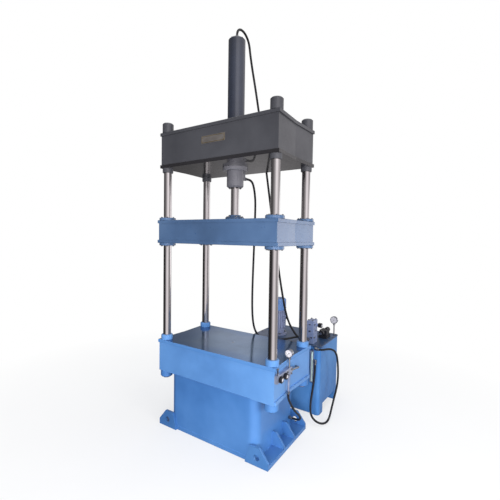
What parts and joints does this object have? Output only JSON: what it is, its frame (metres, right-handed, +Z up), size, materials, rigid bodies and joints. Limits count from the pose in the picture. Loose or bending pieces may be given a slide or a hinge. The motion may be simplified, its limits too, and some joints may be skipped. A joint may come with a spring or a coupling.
{
  "type": "four-column hydraulic press",
  "caption": "Four-column hydraulic press with a downstroke cylinder, a guided slide over a flat table, a welded base and a separate power unit joined to it by hoses.",
  "frame": {"origin": "on the floor midway between the four columns, at the centre of the base plate's underside", "axes": "+Z up along the columns, -Y towards the operator's side with the name plate, +X towards the side with the hand valve"},
  "size_m": [1.2205, 1.3324, 3.2],
  "materials": {
    "blue_paint": "gloss light blue enamel on welded plate",
    "machined_table": "ground working face with a film of oil",
    "slide_paint": "blue-grey satin enamel",
    "head_paint": "dark grey satin enamel",
    "cylinder_paint": "dark blue-grey satin enamel",
    "hard_chrome": "ground and hard-chromed",
    "steel": "turned or drawn steel",
    "name_plate": "bare anodised sheet",
    "motor_paint": "grey-lavender enamel on cast ribs",
    "valve_steel": "plated and blue-tinted steel blocks",
    "black_plastic": "black moulded plastic",
    "gauge_case": "bright case with a white dial",
    "needle_black": "black lacquered sheet",
    "hose_rubber": "smooth black hose cover"
  },
  "bodies": {
    "frame": {"base_plate": "blue_paint", "base_shell": "blue_paint", "bed_back_plate": "blue_paint", "bed_bottom_plate": "blue_paint", "bed_front_plate": "blue_paint", "bed_side_left": "blue_paint", "bed_side_right": "blue_paint", "bottom_nuts": "blue_paint", "column_back_left": "hard_chrome", "column_back_right": "hard_chrome", "column_front_left": "hard_chrome", "column_front_right": "hard_chrome", "cylinder_barrel": "cylinder_paint", "cylinder_cap": "cylinder_paint", "cylinder_gland": "cylinder_paint", "cylinder_ring_nut": "head_paint", "drop_hose": "hose_rubber", "filler_neck": "black_plastic", "foot_left": "blue_paint", "foot_right": "blue_paint", "gear_pump": "steel", "gland_hose": "hose_rubber", "head_bottom_plate": "head_paint", "head_collars": "head_paint", "head_hose": "hose_rubber", "head_top_plate": "head_paint", "head_walls": "head_paint", "hose_fittings": "steel", "loop_hose": "hose_rubber", "manifold_block": "valve_steel", "motor_fan_cover": "blue_paint", "motor_housing": "motor_paint", "nameplate": "name_plate", "oil_tank": "blue_paint", "side_gauge": "gauge_case", "side_pipe": "steel", "solenoid_valve": "black_plastic", "table_collars": "blue_paint", "table_plate": "machined_table", "tank_fittings": "steel", "tank_gauge": "gauge_case", "tank_lid": "blue_paint", "top_nuts": "head_paint", "valve_block": "valve_steel"},
    "slide": {"slide_bottom_plate": "machined_table", "slide_walls": "slide_paint", "slide_top_plate": "slide_paint", "guide_bushes": "steel", "piston_rod": "hard_chrome", "piston": "steel", "rod_flange": "steel"},
    "valve_lever": {"valve_lever": "steel"},
    "pressure_knob": {"pressure_knob": "black_plastic"},
    "speed_knob": {"speed_knob": "black_plastic"},
    "relief_knob": {"relief_knob": "black_plastic"},
    "side_needle": {"side_needle": "needle_black"},
    "tank_needle": {"tank_needle": "needle_black"},
    "motor_rotor": {"motor_rotor": "steel"},
    "filler_cap": {"filler_cap": "black_plastic"}
  },
  "joints": [
    {"name": "slide_travel", "type": "slide", "parent": "frame", "child": "slide", "axis": [0, 0, 1], "range_m": [-0.65, 0.18]},
    {"name": "lever_swing", "type": "hinge", "parent": "frame", "child": "valve_lever", "pos_m": [0.559, -0.272, 0.649], "axis": [1, 0, 0], "range_deg": [-25, 25]},
    {"name": "pressure_knob_turn", "type": "hinge", "parent": "frame", "child": "pressure_knob", "pos_m": [0.566, -0.255, 0.614], "axis": [1, 0, 0], "range_deg": [-720, 720]},
    {"name": "speed_knob_turn", "type": "hinge", "parent": "frame", "child": "speed_knob", "pos_m": [0.566, -0.187, 0.614], "axis": [1, 0, 0], "range_deg": [-720, 720]},
    {"name": "relief_knob_turn", "type": "hinge", "parent": "frame", "child": "relief_knob", "pos_m": [0.464, 0.662, 0.762], "axis": [1, 0, 0], "range_deg": [-720, 720]},
    {"name": "side_needle_turn", "type": "hinge", "parent": "frame", "child": "side_needle", "pos_m": [0.556, -0.102, 0.742], "axis": [0, 1, 0], "range_deg": [0, 270], "stiffness_Nm_per_rad": 0.002},
    {"name": "tank_needle_turn", "type": "hinge", "parent": "frame", "child": "tank_needle", "pos_m": [0.505, 0.965, 0.755], "axis": [0, 1, 0], "range_deg": [0, 270], "stiffness_Nm_per_rad": 0.002},
    {"name": "motor_spin", "type": "hinge", "parent": "frame", "child": "motor_rotor", "pos_m": [0.026, 0.705, 0.75], "axis": [0, 0, 1], "continuous": true},
    {"name": "filler_cap_turn", "type": "hinge", "parent": "frame", "child": "filler_cap", "pos_m": [-0.07, 0.9, 0.62], "axis": [0, 0, 1], "range_deg": [0, 90]}
  ]
}
